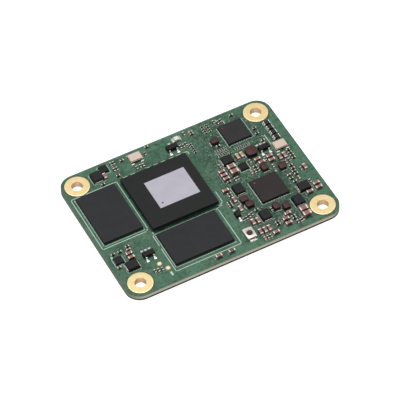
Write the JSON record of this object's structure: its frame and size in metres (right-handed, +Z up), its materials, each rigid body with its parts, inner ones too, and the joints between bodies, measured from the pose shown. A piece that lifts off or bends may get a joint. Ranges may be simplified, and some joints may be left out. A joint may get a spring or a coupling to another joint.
{
  "type": "system on module",
  "caption": "Computer module: a rounded green board with plated mounting holes, processor, memory, power parts, a small push switch, and board-to-board connectors underneath.",
  "frame": {"origin": "under the middle of the board, level with the mating faces of the underside connectors", "axes": "+X along the board's long side, +Y to its rear side, +Z up out of the populated face"},
  "size_m": [0.055, 0.04, 0.0044],
  "materials": {
    "solder_mask": "semi-gloss green solder mask over woven glass laminate",
    "gold_plating": "thin bright gold plating over copper",
    "solder": "reflowed solder, satin",
    "package_laminate": "dark package laminate with a cut edge",
    "package_moulding": "fine-grained black moulding",
    "bare_die": "flat grey-lavender back of a die, satin",
    "inductor_moulding": "pressed black powder moulding",
    "ferrite": "brown sintered ferrite, slightly rough",
    "pale_ceramic": "pale ceramic",
    "lid_metal": "warm bright sheet metal",
    "tinned_metal": "matt tin plating",
    "lamp_resin": "milky clear resin",
    "brown_ceramic": "pink-brown sintered ceramic",
    "beige_ceramic": "beige sintered ceramic",
    "resistor_glaze": "black glass glaze",
    "switch_plastic": "dark moulded plastic",
    "button_plastic": "dark moulded plastic",
    "connector_plastic": "black moulded plastic"
  },
  "bodies": {
    "module": {"capacitor_bodies": "brown_ceramic", "capacitor_ends": "tinned_metal", "circuit_board": "solder_mask", "converter_bodies": "package_moulding", "converter_lands": "solder", "crystal_bases": "pale_ceramic", "crystal_lids": "lid_metal", "drum_inductor_core": "ferrite", "drum_inductor_feet": "tinned_metal", "ferrite_inductor_bodies": "ferrite", "ferrite_inductor_feet": "tinned_metal", "film_capacitor_bodies": "beige_ceramic", "film_capacitor_ends": "tinned_metal", "front_connector_contacts": "gold_plating", "front_connector_housing": "connector_plastic", "front_memory_laminate": "package_laminate", "front_memory_moulding": "package_moulding", "front_memory_solder": "solder", "lamp_base": "pale_ceramic", "lamp_lens": "lamp_resin", "lamp_terminals": "tinned_metal", "large_capacitor_bodies": "brown_ceramic", "large_capacitor_ends": "tinned_metal", "left_memory_laminate": "package_laminate", "left_memory_moulding": "package_moulding", "left_memory_solder": "solder", "mounting_rings": "gold_plating", "network_chip_body": "package_moulding", "network_chip_lands": "solder", "outline_package_bodies": "package_moulding", "outline_package_leads": "tinned_metal", "power_chip_body": "package_moulding", "power_chip_lands": "solder", "power_inductor_bodies": "inductor_moulding", "power_inductor_clips": "tinned_metal", "processor_die": "bare_die", "processor_laminate": "package_laminate", "processor_moulding": "package_moulding", "processor_solder": "solder", "rear_connector_contacts": "gold_plating", "rear_connector_housing": "connector_plastic", "resistor_array_bodies": "resistor_glaze", "resistor_array_terminals": "tinned_metal", "side_connector_contacts": "gold_plating", "side_connector_housing": "connector_plastic", "small_capacitors": "brown_ceramic", "small_resistors": "resistor_glaze", "switch_base": "switch_plastic", "switch_cover": "lid_metal", "switch_dome": "lid_metal", "switch_terminals": "tinned_metal", "test_pads": "gold_plating", "tiny_capacitors": "beige_ceramic", "underside_capacitors": "brown_ceramic"},
    "button": {"switch_button": "button_plastic"}
  },
  "joints": [
    {"name": "button_press", "type": "slide", "parent": "module", "child": "button", "axis": [0, 0, -1], "range_m": [0, 0.00015], "stiffness_N_per_m": 8000}
  ]
}
